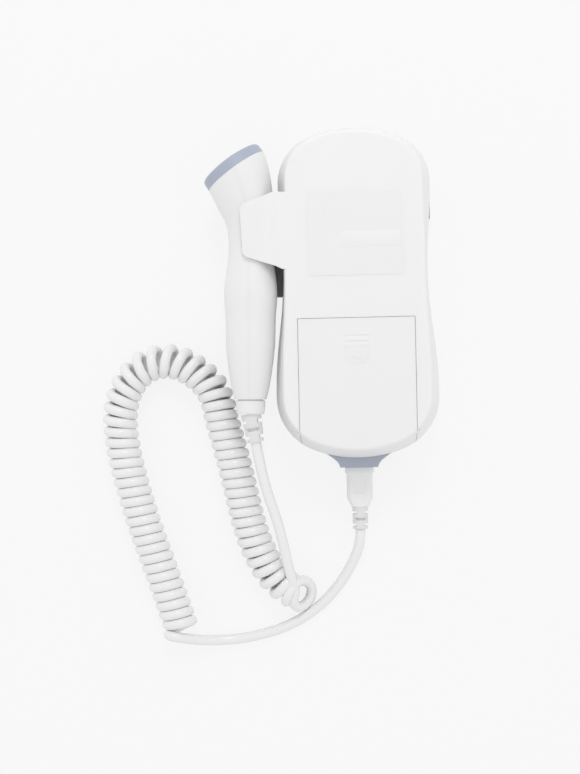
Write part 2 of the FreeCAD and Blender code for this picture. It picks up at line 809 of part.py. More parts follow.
def rear_cover():
    outer = rear_block()
    outer = outer.makeFillet(back_edge_r, level_edges(outer, back_z))
    shell = outer.cut(rear_block(wall, back_z - wall))
    shell = shell.cut(door_opening(gap))
    lip_ring = block_between(wall + gap, rear_z - lip_drop, wall + gap, rear_z)
    lip_ring = lip_ring.cut(block_between(wall + gap + lip, rear_z - lip_drop, wall + gap + lip, rear_z))
    foot = block_between(wall - 0.3, rear_z, wall - 0.3, rear_z + 0.5)
    foot = foot.cut(block_between(wall + gap + lip, rear_z, wall + gap + lip, rear_z + 0.5))
    foot = foot.cut(door_opening(gap))
    side = door_half + gap + slip
    tray = bay_block(slip, bay_floor_z - bay_wall, side + bay_wall, door_y + gap + bay_wall)
    tray = tray.cut(bay_block(slip + bay_wall, bay_floor_z, side, door_y + gap))
    boss_span = (rear_z, bay_floor_z - bay_wall / 2)
    bosses = [post(x, y, boss_span, case_screw_r + boss_wall) for x, y in case_screw_places()]
    walls = bay_side_walls(side)
    cover = joined([shell, lip_ring, foot, tray] + walls + bosses)
    cover = joined([cover, clip_arm()])
    tools = [tongue(s, slip) for s in (-1, 1)]
    tools += [post(x, y, (0, back_z - wall - 1), case_screw_r + screw_room) for x, y in case_screw_places()]
    tools.append(box((-flare_root_half - gap, flare_root_half + gap), (bottom_end, flare_y + 7),
                     (0, rear_z + gap)))
    return cut_away(cover, tools)


def bay_side_walls(side):
    """Walls that carry the bay from the back plate on both sides of the door."""
    form = rear_block(wall - 0.3, back_z - wall + 0.2)
    y_span = (bottom_end, door_y + gap + bay_wall)
    z_span = (bay_floor_z - bay_wall, back_z)
    walls = []
    for s in (-1, 1):
        x_span = sorted((s * side, s * (side + bay_wall)))
        walls.append(form.common(box(x_span, y_span, z_span)))
    return walls


def battery_door():
    outer = rear_block()
    outer = outer.makeFillet(back_edge_r, level_edges(outer, back_z))
    shell = outer.cut(rear_block(door_wall, back_z - door_wall))
    body = shell.common(box((-door_half, door_half), (bottom_end - 10, door_y), (rear_z + gap, back_z + 1)))
    tongues = [tongue(s).common(rear_block()) for s in (-1, 1)]
    webs = [box(sorted((s * (door_half - 0.8), s * door_half)), (hip_y - 6, door_y - 3),
                (back_z - door_wall - slip - 1, back_z - door_wall + 0.2)) for s in (-1, 1)]
    door = joined([body] + tongues + webs)
    return joined([cut_away(door, grip_grooves() + [thumb_dish()]), slide_arrow()])


def grip_grooves():
    """Finger grooves across the door."""
    axis_z = back_z + grip_r - grip_depth
    return [Part.makeCylinder(grip_r, grip_length, Vector(-grip_length / 2, grip_y - i * grip_pitch, axis_z),
                              Vector(1, 0, 0)) for i in range(grip_count)]


def thumb_dish():
    """Round cutter whose flat end slopes down towards the door's lower edge."""
    dish = Part.makeCylinder(dish_r, wall)
    dish.rotate(Vector(0, 0, 0), Vector(1, 0, 0), math.degrees(math.atan(dish_depth / (2 * dish_r))))
    dish.translate(Vector(0, dish_y, back_z - dish_depth / 2))
    return dish


def slide_arrow():
    """Small raised arrowhead in the dish that points the way the door slides."""
    floor_z = back_z - dish_depth * (0.5 + (dish_y - arrow_y) / (2 * dish_r))
    bars = []
    for side in (-1, 1):
        bar = Part.makeBox(arrow_length, arrow_width, 2 * arrow_height,
                           Vector(-arrow_width / 4, -arrow_width / 2, -arrow_height))
        bar.rotate(Vector(0, 0, 0), Vector(0, 0, 1), 90 - side * 58)
        bar.translate(Vector(0, arrow_y, floor_z))
        bars.append(bar)
    return joined(bars)


def battery_pack():
    middle_y = door_y - 3.0 - pack_length / 2
    pack = rounded_block((0, middle_y, bay_floor_z + 0.1 + pack_depth / 2),
                         (2 * pack_half, pack_length, pack_depth), pack_edge_r, 1)
    return pack


def battery_contacts():
    """Sprung leaves on the upper wall of the bay, against the end of the pack."""
    wall_y = door_y
    tip_y = door_y - 2.9
    leaves = []
    for i in range(contact_count):
        x = (i - (contact_count - 1) / 2) * contact_pitch
        z = bay_floor_z + pack_depth / 2
        foot_y = wall_y - contact_foot
        points = [Vector(0, wall_y, z - contact_size), Vector(0, wall_y, z + contact_size),
                  Vector(0, foot_y, z + contact_size), Vector(0, tip_y, z),
                  Vector(0, foot_y, z - contact_size)]
        face = Part.Face(Part.makePolygon(points + [points[0]]))
        face.translate(Vector(x - contact_size / 2, 0, 0))
        leaves.append(face.extrude(Vector(contact_size, 0, 0)))
    return group(leaves)


def label_plate():
    return rounded_block((label_x, label_y, back_z + label_depth / 2),
                         (label_width, label_height, label_depth), label_corner_r)


def cradle_pad():
    """Rubber saddle in the clip: a floor under the neck that turns up against the unit's side."""
    block = box((cradle_tip_x + 1.0, -waist_half + wall), (cradle_low, cradle_high), (cradle_top, pad_top))
    block = block.cut(unit_block())
    return block.cut(probe_path_out(clip_gap)).cut(probe_form(clip_gap))


# ================================================================ probe pieces
def probe_shells():
    """Two half shells with the joint running along the top and the bottom of the handle."""
    tube = probe_form().cut(probe_form(-probe_wall))
    tail_wall = probe_form(-probe_wall / 2).common(box((-100, 0), (tail_y - 5, tail_y + 3), (0, 100)))
    tube = joined([tube, tail_wall])
    bore = placed_on_tail(Part.makeCylinder(cord_d / 2 + cord_room, 10, Vector(0, -3, 0), Vector(0, 1, 0)))
    tube = tube.cut(bore)
    outer_side = split_block()
    return tube.common(outer_side), tube.cut(outer_side)


def probe_cap():
    """Soft-edged acoustic face of the head with a hollow spigot inside the shells."""
    spigot_r = head_r - probe_wall - 1.2
    pocket_r = disc_r + 0.2
    edge = cap_depth - cap_dome
    skirt_r = head_r - gap
    crown_r = skirt_r - cap_edge_r
    ball_r = (crown_r ** 2 + cap_dome ** 2) / (2 * cap_dome)
    ball_y = cap_depth - ball_r
    rim = [Vector(0, 0, 0), Vector(pocket_r, 0, 0), Vector(pocket_r, -cap_spigot, 0),
           Vector(spigot_r, -cap_spigot, 0), Vector(spigot_r, 0, 0), Vector(head_r, 0, 0),
           Vector(skirt_r, edge - cap_edge_r, 0)]
    turn = cap_edge_r * math.sqrt(0.5)
    corner = Part.Arc(rim[-1], Vector(crown_r + turn, edge - cap_edge_r + turn, 0), Vector(crown_r, edge, 0))
    half_x = crown_r / 2
    half_y = ball_y + math.sqrt(ball_r ** 2 - half_x ** 2)
    dome = Part.Arc(Vector(crown_r, edge, 0), Vector(half_x, half_y, 0), Vector(0, cap_depth, 0))
    edges = [Part.makeLine(start, end) for start, end in zip(rim, rim[1:])]
    edges += [corner.toShape(), dome.toShape(), Part.makeLine(Vector(0, cap_depth, 0), rim[0])]
    return placed_on_head(Part.Face(Part.Wire(edges)).revolve(Vector(0, 0, 0), Vector(0, 1, 0), 360))


def transducer_discs():
    """Sending and receiving crystals, a half disc each, bonded behind the face."""
    disc = Part.makeCylinder(disc_r, disc_depth, Vector(0, -disc_depth - 0.05, 0), Vector(0, 1, 0))
    slot = box((-disc_gap / 2, disc_gap / 2), (-disc_r, disc_r), (-2 * disc_r, 2 * disc_r))
    halves = disc.cut(slot)
    return group([placed_on_head(half) for half in halves.Solids])


def probe_board():
    """Narrow board in the handle, its edges in the shells."""
    width = 2 * (tail_r + 0.45 * (handle_r - tail_r) - probe_wall) - 1.0
    board = Part.makeBox(width, probe_board_length, 1.2, Vector(-width / 2, 9.0, -0.6))
    return placed_on_tail(board)


def probe_collar():
    bore_r = cord_d / 2 + cord_room
    end = -collar_gap - collar_length
    profile = [(bore_r, -collar_gap), (collar_r - 0.5, -collar_gap), (collar_r, -collar_gap - 0.5),
               (collar_tip_r, end + 0.4), (collar_tip_r - 0.4, end), (bore_r, end)]
    neck_end = -collar_gap - 0.2
    neck = [(bore_r, 0.0), (collar_r - 1.0, 0.0), (collar_r - 1.0, neck_end), (bore_r, neck_end)]
    return placed_on_tail(joined([ring_profile(profile), ring_profile(neck)]))


def relief_cone(start_r, tip_r, length, rings):
    """Tapered strain relief along -Y with grooves all round that let it bend."""
    cone = Part.makeCone(start_r, tip_r, length, Vector(0, 0, 0), Vector(0, -1, 0))
    pitch = length / (rings + 0.5)
    for i in range(rings):
        y = -(i + 0.75) * pitch
        r = start_r + (tip_r - start_r) * (-y / length)
        groove = ring_profile([(r - relief_groove, y - pitch / 5), (start_r + 1, y - pitch / 5),
                               (start_r + 1, y + pitch / 5), (r - relief_groove, y + pitch / 5)])
        cone = cone.cut(groove)
    return cone


def probe_relief():
    cone = relief_cone(probe_relief_r, probe_relief_tip_r, probe_relief_length, 4)
    cone.rotate(Vector(0, 0, 0), Vector(0, 0, 1), probe_relief_lean)
    cone.translate(Vector(tail_x, relief_start_y, probe_z))
    end_cut = box((-100, 0), (relief_start_y - gap, relief_start_y + 5), (0, 60))
    return cone.cut(end_cut)


def relief_tip():
    """Middle of the probe relief's end face, where the cord comes out."""
    lean = math.radians(probe_relief_lean)
    return Vector(tail_x + probe_relief_length * math.sin(lean),
                  relief_start_y - probe_relief_length * math.cos(lean), probe_z)


# ================================================================ plug
def plug_body():
    """Moulded plug: a flange against the flare, a flat body and shoulders that run into the relief."""
    flange = rounded_block((0, plug_y - flange_length / 2, plug_z),
                           (flange_width, flange_length, flange_height),
                           plug_corner_r, 1)
    straight_end = plug_y - flange_length - 0.75 * plug_length
    body_length = plug_y - flange_length - straight_end
    body = rounded_block((0, straight_end + body_length / 2, plug_z), (plug_width, body_length, plug_height),
                         plug_corner_r, 1)
    high = body_section(plug_width, plug_height, plug_corner_r, straight_end)
    low = body_section(2 * plug_relief_r + 0.6, 2 * plug_relief_r, plug_corner_r, plug_end_y)
    shoulder = Part.makeLoft([high, low], True, True)
    thumb = rounded_block((0, straight_end + body_length / 2, plug_z + plug_height / 2),
                          (0.45 * plug_width, 0.6 * body_length, 0.6), 0.8)
    return joined([flange, body, shoulder]).cut(thumb)


def body_section(width, height, corner_r, y):
    """Rounded rectangle across the plug at one place along it."""
    block = rounded_block((0, y, plug_z), (width, 1.0, height), corner_r, 1)
    face = min(block.Faces, key=lambda f: f.CenterOfMass.y)
    wire = face.OuterWire.copy()
    wire.translate(Vector(0, 0.5, 0))
    return wire


def plug_shell():
    """Metal contact shell of the plug, inside the socket."""
    length = contact_shell_length - 0.6
    centre = (0, plug_y + length / 2, plug_z)
    outer = rounded_block(centre, (contact_shell_width, length, contact_shell_height), 0.6, 1)
    inner_size = (contact_shell_width - 2 * contact_wall, length, contact_shell_height - 2 * contact_wall)
    inner = rounded_block((0, centre[1] + contact_wall, plug_z), inner_size, 0.3, 1)
    return outer.cut(inner)


def plug_relief():
    cone = relief_cone(plug_relief_r, plug_relief_tip_r, plug_relief_length, 3)
    cone.translate(Vector(0, plug_end_y, plug_z))
    return cone


# ================================================================ cord
def lead_from_probe_route():
    """Cord from the probe's relief, drooping over to the curly stretch's near end."""
    exit_point = relief_tip()
    lean = math.radians(probe_relief_lean)
    straight = exit_point + Vector(7.6 * math.sin(lean), -7.6 * math.cos(lean), 0)
    return [exit_point, straight, Vector(-38.2, -80.5, 21.0), Vector(-34.0, -93.5, 18.2),
            Vector(-31.2, -105.0, 16.4), Vector(-28.9, -114.6, 14.0), Vector(-27.6, -121.6, 9.6)]


def lead_to_plug_route():
    """Cord from the curly stretch's far end along the surface and up to the plug."""
    low = cord_d / 2 + floor_gap
    return [Vector(0, plug_relief_end_y, plug_z), Vector(0, plug_relief_end_y - 6, plug_z),
            Vector(-3.8, -113.0, 4.2), Vector(-9.8, -122.8, low), Vector(-19.4, -132.6, low),
            Vector(-33.2, -140.2, low), Vector(-50.0, -144.6, low), Vector(-65.8, -144.8, low),
            Vector(-76.2, -142.2, low + 0.4), Vector(-81.2, -138.8, low + 1.6)]


def curly_route():
    """Middle line of the curly stretch: two long legs joined by an arch beside the handle."""
    z = coil_d / 2 + floor_gap
    plan = [(-75.6, -138.0), (-82.2, -118.0), (-89.8, -97.5), (-95.6, -78.0), (-99.6, -60.5), (-100.3, -46.0),
            (-96.0, -34.0), (-87.0, -26.6), (-76.0, -26.2), (-66.0, -31.5), (-59.5, -39.5), (-57.2, -51.5),
            (-53.2, -66.0), (-49.6, -82.0), (-46.2, -97.5), (-41.5, -109.5), (-35.5, -118.5), (-27.5, -123.5),
            (-21.5, -124.8)]
    return [Vector(x, y, z) for x, y in plan]


def rounded_path(points):
    """Straight runs joined by tangent arcs as large as the runs beside them allow."""
    edges = []
    radii = []
    start = points[0]
    for before, corner, after in zip(points, points[1:], points[2:]):
        into = (corner - before)
        out = (after - corner)
        half_turn = into.getAngle(out) / 2
        back = 0.45 * min(into.Length, out.Length)
        radii.append(back / math.tan(half_turn))
        into.normalize()
        out.normalize()
        first = corner - into * back
        last = corner + out * back
        to_middle = (out - into)
        to_middle.normalize()
        reach = radii[-1] / math.cos(half_turn) - radii[-1]
        edges.append(Part.makeLine(start, first))
        edges.append(Part.Arc(first, corner + to_middle * reach, last).toShape())
        start = last
    edges.append(Part.makeLine(start, points[-1]))
    return Part.Wire(edges), radii


def tube(name, points, diameter):
    path, radii = rounded_path(points)
    direction = points[1] - points[0]
    ring = Part.Wire([Part.Circle(points[0], direction, diameter / 2).toShape()])
    solid = path.makePipeShell([ring], True, False)
    expected = math.pi * diameter ** 2 / 4 * path.Length
    print("%s: length %.1f mm, volume/expected %.4f, smallest radius %.1f mm of %s"
          % (name, path.Length, solid.Volume / expected, min(radii), [round(r, 1) for r in radii]))
    return solid


# ================================================================ all the nodes
def build():
    outer_shell, inner_shell = probe_shells()
    keys = {name: round_key(x, y, r) for name, (x, y, r) in key_places().items()}
    parts = {
        "front_cover": front_cover(),
        "trim_band": trim_band(),
        "rear_cover": rear_cover(),
        "battery_door": battery_door(),
        "battery_pack": battery_pack(),
        "battery_contacts": battery_contacts(),
        "case_screws": case_screws(),
        "display_lens": display_lens(),
        "lcd_module": lcd_module(),
        "main_board": main_board(),
        "board_screws": board_screws(),
        "key_mat": key_mat(),
        "side_key": side_key(),
        "side_switch": side_switch(),
        "speaker": speaker(),
        "earphone_socket": top_jack(jack_x, jack_bore_r, jack_bore_length),
        "charging_socket": top_jack(-jack_x, dc_bore_r, dc_bore_length),
        "probe_socket": probe_socket(),
        "label_plate": label_plate(),
        "cradle_arm": cradle_arm(),
        "cradle_pad": cradle_pad(),
        "probe_outer_shell": outer_shell,
        "probe_inner_shell": inner_shell,
        "probe_cap": probe_cap(),
        "transducer_discs": transducer_discs(),
        "probe_board": probe_board(),
        "probe_collar": probe_collar(),
        "probe_relief": probe_relief(),
        "plug_body": plug_body(),
        "plug_shell": plug_shell(),
        "plug_relief": plug_relief(),
        "lead_from_probe": tube("lead_from_probe", lead_from_probe_route(), cord_d),
        "curly_cord": tube("curly_cord", curly_route(), coil_d),
        "lead_to_plug": tube("lead_to_plug", lead_to_plug_route(), cord_d),
    }
    parts.update(keys)
    return parts


os.makedirs("parts", exist_ok=True)
for node, shape in build().items():
    shape.exportStep("parts/%s.step" % node)
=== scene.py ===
"""Hand-held fetal doppler monitor, lying on its front, with the probe in its side clip."""

import bpy
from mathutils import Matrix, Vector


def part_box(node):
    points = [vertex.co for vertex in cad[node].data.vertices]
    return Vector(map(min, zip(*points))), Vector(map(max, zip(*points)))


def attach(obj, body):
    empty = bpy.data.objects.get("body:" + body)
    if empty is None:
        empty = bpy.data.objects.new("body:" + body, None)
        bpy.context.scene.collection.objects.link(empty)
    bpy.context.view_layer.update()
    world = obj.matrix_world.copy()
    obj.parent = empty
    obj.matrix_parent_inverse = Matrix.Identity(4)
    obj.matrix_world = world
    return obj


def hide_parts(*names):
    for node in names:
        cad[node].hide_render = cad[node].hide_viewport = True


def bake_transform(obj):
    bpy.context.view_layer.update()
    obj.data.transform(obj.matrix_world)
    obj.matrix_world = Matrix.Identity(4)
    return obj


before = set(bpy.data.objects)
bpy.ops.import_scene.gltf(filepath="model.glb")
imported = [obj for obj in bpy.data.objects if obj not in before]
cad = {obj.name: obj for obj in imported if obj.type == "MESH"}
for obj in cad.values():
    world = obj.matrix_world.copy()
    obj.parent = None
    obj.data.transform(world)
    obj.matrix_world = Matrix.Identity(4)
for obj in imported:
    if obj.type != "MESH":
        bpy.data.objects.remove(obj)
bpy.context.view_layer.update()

import bpy
import math
from mathutils import Matrix, Vector

# ------------------------------------------------------------------------------------
# Camera: a long lens over the unit's centre line, turned a little to take in the probe
# and the curly cord as well.
# ------------------------------------------------------------------------------------
camera_place = Vector((0.0, -0.0383, 0.6195))
camera_aim = Vector((-0.0279, -0.0383, 0.0155))
camera_roll = math.radians(1.2)
bpy.ops.object.select_all(action="DESELECT")
bpy.ops.object.camera_add(location=camera_place)
camera = bpy.context.object
camera.name = "camera"
backwards = (camera_place - camera_aim).normalized()
upwards = Vector((math.sin(camera_roll), math.cos(camera_roll), 0))
across = upwards.cross(backwards).normalized()
upwards = backwards.cross(across)
camera.rotation_euler = Matrix((across, upwards, backwards)).transposed().to_euler()
camera.data.lens = 68.07
camera.data.sensor_width = 36
camera.data.clip_start = 0.01
camera.data.clip_end = 20
bpy.context.scene.camera = camera
bpy.context.scene.view_settings.view_transform = "Standard"

# ------------------------------------------------------------------------------------
# Table and light: a pale grey sheet in an even white room, with one soft box beyond the
# top end of the unit.
# ------------------------------------------------------------------------------------
bpy.ops.mesh.primitive_plane_add(size=6, location=(0, 0, -0.00005))
table = bpy.context.object
table.name = "table"

paper_tone = (0.95, 0.95, 0.95, 1)
clean_share = 0.86
paper = bpy.data.materials.new("pale_paper")
paper.use_nodes = True
nodes, links = paper.node_tree.nodes, paper.node_tree.links
nodes.clear()
matte = nodes.new("ShaderNodeBsdfDiffuse")
matte.inputs["Color"].default_value = paper_tone
plain = nodes.new("ShaderNodeEmission")
plain.inputs["Color"].default_value = paper_tone
plain.inputs["Strength"].default_value = 1
seen = nodes.new("ShaderNodeLightPath")
clean = nodes.new("ShaderNodeMath")
clean.operation = "MULTIPLY"
clean.inputs[1].default_value = clean_share
mix = nodes.new("ShaderNodeMixShader")
out = nodes.new("ShaderNodeOutputMaterial")
links.new(seen.outputs["Is Camera Ray"], clean.inputs[0])
links.new(clean.outputs[0], mix.inputs["Fac"])
links.new(matte.outputs[0], mix.inputs[1])
links.new(plain.outputs[0], mix.inputs[2])
links.new(mix.outputs[0], out.inputs["Surface"])
table.data.materials.append(paper)


def ranged(nodes, links, value, low, high, start=0.0, end=1.0):
    """A value that runs from start to end, made a number that runs from low to high."""
    scale = nodes.new("ShaderNodeMapRange")
    scale.inputs["From Min"].default_value = start
    scale.inputs["From Max"].default_value = end
    scale.inputs["To Min"].default_value = low
    scale.inputs["To Max"].default_value = high
    links.new(value, scale.inputs["Value"])
    return scale.outputs["Result"]


room_tone = (0.935, 0.935, 0.935, 1)
room_light = 0.905
world = bpy.data.worlds.new("white_room")
bpy.context.scene.world = world
world.use_nodes = True
nodes, links = world.node_tree.nodes, world.node_tree.links
room = nodes["Background"]
room.inputs["Color"].default_value = room_tone
seen = nodes.new("ShaderNodeLightPath")
links.new(ranged(nodes, links, seen.outputs["Is Camera Ray"], room_light, 1.0), room.inputs["Strength"])

bpy.ops.object.light_add(type="AREA", location=(0.03, 0.55, 0.70))
soft_box = bpy.context.object
soft_box.name = "soft_box"
soft_box.rotation_euler = (Vector((0, 0, 0)) - soft_box.location).to_track_quat("-Z", "Y").to_euler()
soft_box.data.shape = "SQUARE"
soft_box.data.size = 0.2
soft_box.data.energy = 1.3

# ------------------------------------------------------------------------------------
# Cord, in white polyurethane: it leaves the probe, drops to an open loop that lies half
# over, is wound tight in a curly stretch, and comes out as the lead to the plug.
# ------------------------------------------------------------------------------------
cord_diameter = 0.0042
turn_radius = 0.00525
table_room = 0.00005


def flexible_line(name, points, thickness=0.0, smoothness=8):
    """A curve of one open spline that takes its bends from these points."""
    data = bpy.data.curves.new(name, "CURVE")
    data.dimensions = "3D"
    spline = data.splines.new("NURBS")
    spline.points.add(len(points) - 1)
    for point, place in zip(spline.points, points):
        point.co = (*place, 1)
    spline.order_u = 3
    spline.use_endpoint_u = True
    data.resolution_u = smoothness
    data.bevel_depth = thickness / 2
    data.bevel_resolution = 4
    data.use_fill_caps = True
    line = bpy.data.objects.new(name, data)
    bpy.context.scene.collection.objects.link(line)
    return line


def points_on(points):
    """Places along the spline that these points control, in order."""
    line = flexible_line("guide", points)
    bpy.context.view_layer.update()
    mesh = bpy.data.meshes.new_from_object(line.evaluated_get(bpy.context.evaluated_depsgraph_get()))
    places = [vertex.co.copy() for vertex in mesh.vertices]
    bpy.data.objects.remove(line)
    return places


coil_route = [(-75.7, -139.0), (-82.6, -118.0), (-90.0, -97.5), (-95.6, -78.0), (-99.6, -60.5), (-100.3, -46.0),
              (-96.0, -34.0), (-87.0, -26.6), (-76.0, -26.2), (-66.2, -31.9), (-59.5, -39.5), (-57.2, -51.5),
              (-53.2, -66.0), (-49.6, -82.0), (-46.2, -97.5), (-41.5, -109.5), (-35.8, -118.8), (-27.8, -124.6),
              (-21.0, -126.4)]
middle = points_on([(x / 1000, y / 1000, 0) for x, y in reversed(coil_route)])

# The coil is wound left-handed.  Its first turn is slack and lies half over with its near side
# on the table, and the rest stand across the coil and touch along the inside of each bend.
steps_per_turn = 16
tight_pitch, inner_pitch, least_room = 0.00423, 0.0041, 0.4
slack_radius, slack_tip = 0.0057, math.radians(44)
slack_start, slack_pitch, slack_turns = 0.0037, 0.0025, 0.35
opening_pitch, opening_turns = 0.0064, 1.2
upright_from, upright_to = 0.5, 1.6
first_angle, last_angle = math.radians(-90), math.radians(195)
bend_span, heading_span = 10, 8
middle_end = len(middle) - 1
distance = [0.0]
for here, there in zip(middle, middle[1:]):
    distance.append(distance[-1] + (there - here).length)


def fade(value, start, end):
    """From 1 at the start to 0 at the end, smoothly."""
    share = min(max((value - start) / (end - start), 0), 1)
    return 1 - share * share * (3 - 2 * share)


def pitch_at(i, turns_done):
    """How far the coil runs on in one turn: more on the outside of a bend and after the slack turn."""
    back, on = max(i - bend_span, 0), min(i + bend_span, middle_end)
    before = middle[i] - middle[back]
    after = middle[on] - middle[i] if on > i else before
    curl = before.angle(after, 0) / ((distance[on] - distance[back]) / 2)
    if turns_done < slack_turns:
        return slack_pitch
    if turns_done < opening_turns:
        return opening_pitch
    return max(tight_pitch, inner_pitch / max(1 - turn_radius * curl, least_room))


turned = [0.0]
for i in range(1, middle_end + 1):
    run = distance[i] - distance[i - 1] if distance[i] > slack_start else 0.0
    turned.append(turned[-1] + run / pitch_at(i, turned[-1]))
whole_turns = round(turned[-1]) + (last_angle - first_angle) / (2 * math.pi)
steps = int(whole_turns * steps_per_turn)
turns = []
spot = 0
for step in range(steps + 1):
    wanted = turned[-1] * step / steps
    while spot < middle_end - 1 and turned[spot + 1] <= wanted:
        spot += 1
    part = (wanted - turned[spot]) / max(turned[spot + 1] - turned[spot], 1e-9)
    centre = middle[spot].lerp(middle[spot + 1], min(part, 1))
    ahead = (middle[min(spot + heading_span, middle_end)] - middle[max(spot - heading_span, 0)]).normalized()
    side = Vector((0, 0, 1)).cross(ahead)
    slack = fade(step / steps_per_turn, upright_from, upright_to)
    tip = slack_tip * slack
    radius = turn_radius + (slack_radius - turn_radius) * slack
    centre.z = cord_diameter / 2 + table_room + radius * math.cos(tip)
    rise = Vector((0, 0, 1)) * math.cos(tip) + ahead * math.sin(tip)
    angle = first_angle + step * 2 * math.pi / steps_per_turn
    reach = radius / math.cos(math.pi / steps_per_turn)
    turns.append(centre + reach * (math.cos(angle) * side - math.sin(angle) * rise))

probe_lead_route = [(-41.935, -60.457, 23.5), (-40.746, -67.963, 23.5), (-38.2, -80.5, 21.0), (-34.0, -93.5, 18.2),
                    (-31.7, -104.0, 16.6), (-30.0, -113.5, 14.4)]
plug_lead_route = [(-81.4, -140.9, 9.9), (-79.7, -141.3, 11.9), (-76.4, -142.0, 11.2), (-73.0, -143.0, 8.9),
                   (-69.0, -143.9, 6.4), (-63.9, -144.5, 4.2), (-57.0, -144.6, 2.6), (-48.0, -143.8, 2.1),
                   (-33.2, -140.2, 2.1), (-19.4, -132.6, 2.1), (-9.8, -122.8, 2.1), (-3.8, -113.0, 4.2),
                   (0, -104.1, 7.0), (0, -98.1, 7.0)]


def take(*pieces):
    """Select these pieces alone, the first as the one in hand."""
    bpy.ops.object.select_all(action="DESELECT")
    for piece in pieces:
        piece.select_set(True)
    bpy.context.view_layer.objects.active = pieces[0]


lead_points = [Vector(point) / 1000 for point in probe_lead_route]
meeting = lead_points[-1].lerp(turns[0], 0.5)
lead_points.append(meeting)
lead_path = points_on(lead_points)
probe_lead = flexible_line("probe_lead", lead_points, cord_diameter)
take(probe_lead)
bpy.ops.object.convert(target="MESH")
probe_lead = bpy.context.object
plug_lead_points = [Vector(point) / 1000 for point in plug_lead_route]
curly_cord = flexible_line("cord", [meeting] + turns + plug_lead_points, cord_diameter, smoothness=3)

flow_scale, rub_spread = 60, 0.06
grain_depth, milk_depth = 0.0001, 0.002


def new_finish(name):
    """A new material, with its nodes, its links and its shader."""
    material = bpy.data.materials.new(name)
    material.use_nodes = True
    nodes, links = material.node_tree.nodes, material.node_tree.links
    return material, nodes, links, nodes["Principled BSDF"]


def blended(nodes, links, share, first, second):
    """A colour that goes from the first to the second as the share goes from 0 to 1."""
    blend = nodes.new("ShaderNodeMix")
    blend.data_type = "RGBA"
    blend.inputs["A"].default_value = (*first, 1)
    blend.inputs["B"].default_value = (*second, 1)
    links.new(share, blend.inputs["Factor"])
    return blend.outputs["Result"]


def noise(nodes, links, place, scale, detail):
    """Cloudy noise, read at this place."""
    cloud = nodes.new("ShaderNodeTexNoise")
    cloud.inputs["Scale"].default_value = scale
    cloud.inputs["Detail"].default_value = detail
    links.new(place, cloud.inputs["Vector"])
    return cloud.outputs["Fac"]


def moulded(name, colour, roughness, grain=0.1, grain_scale=1400, mottle=0.012, streak=(1, 1, 1), milky=0.0):
    """Moulded plastic or rubber: faint flow marks, the fine texture of its mould, and milky depth."""
    material, nodes, links, shader = new_finish(name)
    shader.inputs["Subsurface Weight"].default_value = milky
    shader.inputs["Subsurface Radius"].default_value = (1, 1, 1)
    shader.inputs["Subsurface Scale"].default_value = milk_depth
    where = nodes.new("ShaderNodeTexCoord")
    stretch = nodes.new("ShaderNodeMapping")
    stretch.inputs["Scale"].default_value = streak
    links.new(where.outputs["Object"], stretch.inputs["Vector"])
    flow = noise(nodes, links, stretch.outputs["Vector"], flow_scale, 4)
    darker = [part * (1 - mottle) for part in colour]
    lighter = [part * (1 + mottle) for part in colour]
    links.new(blended(nodes, links, flow, darker, lighter), shader.inputs["Base Color"])
    rubbed = ranged(nodes, links, flow, roughness - rub_spread, roughness + rub_spread)
    links.new(rubbed, shader.inputs["Roughness"])
    spark = noise(nodes, links, where.outputs["Object"], grain_scale, 2)
    bump = nodes.new("ShaderNodeBump")
    bump.inputs["Strength"].default_value = grain
    bump.inputs["Distance"].default_value = grain_depth
    links.new(spark, bump.inputs["Height"])
    links.new(bump.outputs["Normal"], shader.inputs["Normal"])
    return material


def coat(piece, material):
    """The whole piece in one finish."""
    piece.data.materials.clear()
    piece.data.materials.append(material)


cord_jacket = moulded("cord_jacket", (0.90, 0.90, 0.90), 0.16, grain=0.04)
for piece in (probe_lead, curly_cord):
    coat(piece, cord_jacket)
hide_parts("lead_from_probe")
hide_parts("curly_cord", "lead_to_plug")
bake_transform(probe_lead)
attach(curly_cord, "unit")

# ------------------------------------------------------------------------------------
# Cases: the rear cover with the clip's rear arm, the front cover and the clip's front arm,
# moulded in white ABS with a fine spark texture and screwed together in the battery bay.
# ------------------------------------------------------------------------------------


def dressed(node, name, body, material, angle=30):
    """A welded copy of one of the frame's pieces that stands in for it, its curves shaded smoothly."""
    piece = cad[node].copy()
    piece.data = cad[node].data.copy()
    piece.name = piece.data.name = name
    bpy.context.scene.collection.objects.link(piece)
    take(piece)
    bpy.ops.object.mode_set(mode="EDIT")
    bpy.ops.mesh.select_all(action="SELECT")
    bpy.ops.mesh.customdata_custom_splitnormals_clear()
    bpy.ops.mesh.remove_doubles(threshold=0.000002)
    bpy.ops.object.mode_set(mode="OBJECT")
    bpy.ops.object.shade_smooth_by_angle(angle=math.radians(angle))
    bpy.ops.object.modifier_add(type="WEIGHTED_NORMAL")
    piece.modifiers[-1].keep_sharp = True
    bpy.ops.object.modifier_apply(modifier=piece.modifiers[-1].name)
    coat(piece, material)
    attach(piece, body)
    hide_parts(node)


white_shell = moulded("white_shell", (0.895, 0.895, 0.895), 0.46, grain=0.16, streak=(1, 0.25, 1), milky=0.15)
dressed("rear_cover", "rear_case", "unit", white_shell)
dressed("front_cover", "front_case", "unit", white_shell)
dressed("cradle_arm", "front_clip_arm", "unit", white_shell)

# ------------------------------------------------------------------------------------
# Trim: a blue-grey band, moulded in ABS and clamped between the covers, which flares out
# round the probe's socket.
# ------------------------------------------------------------------------------------
blue_grey = moulded("blue_grey", (0.41, 0.455, 0.53), 0.5, grain=0.14)
dressed("trim_band", "trim", "unit", blue_grey)

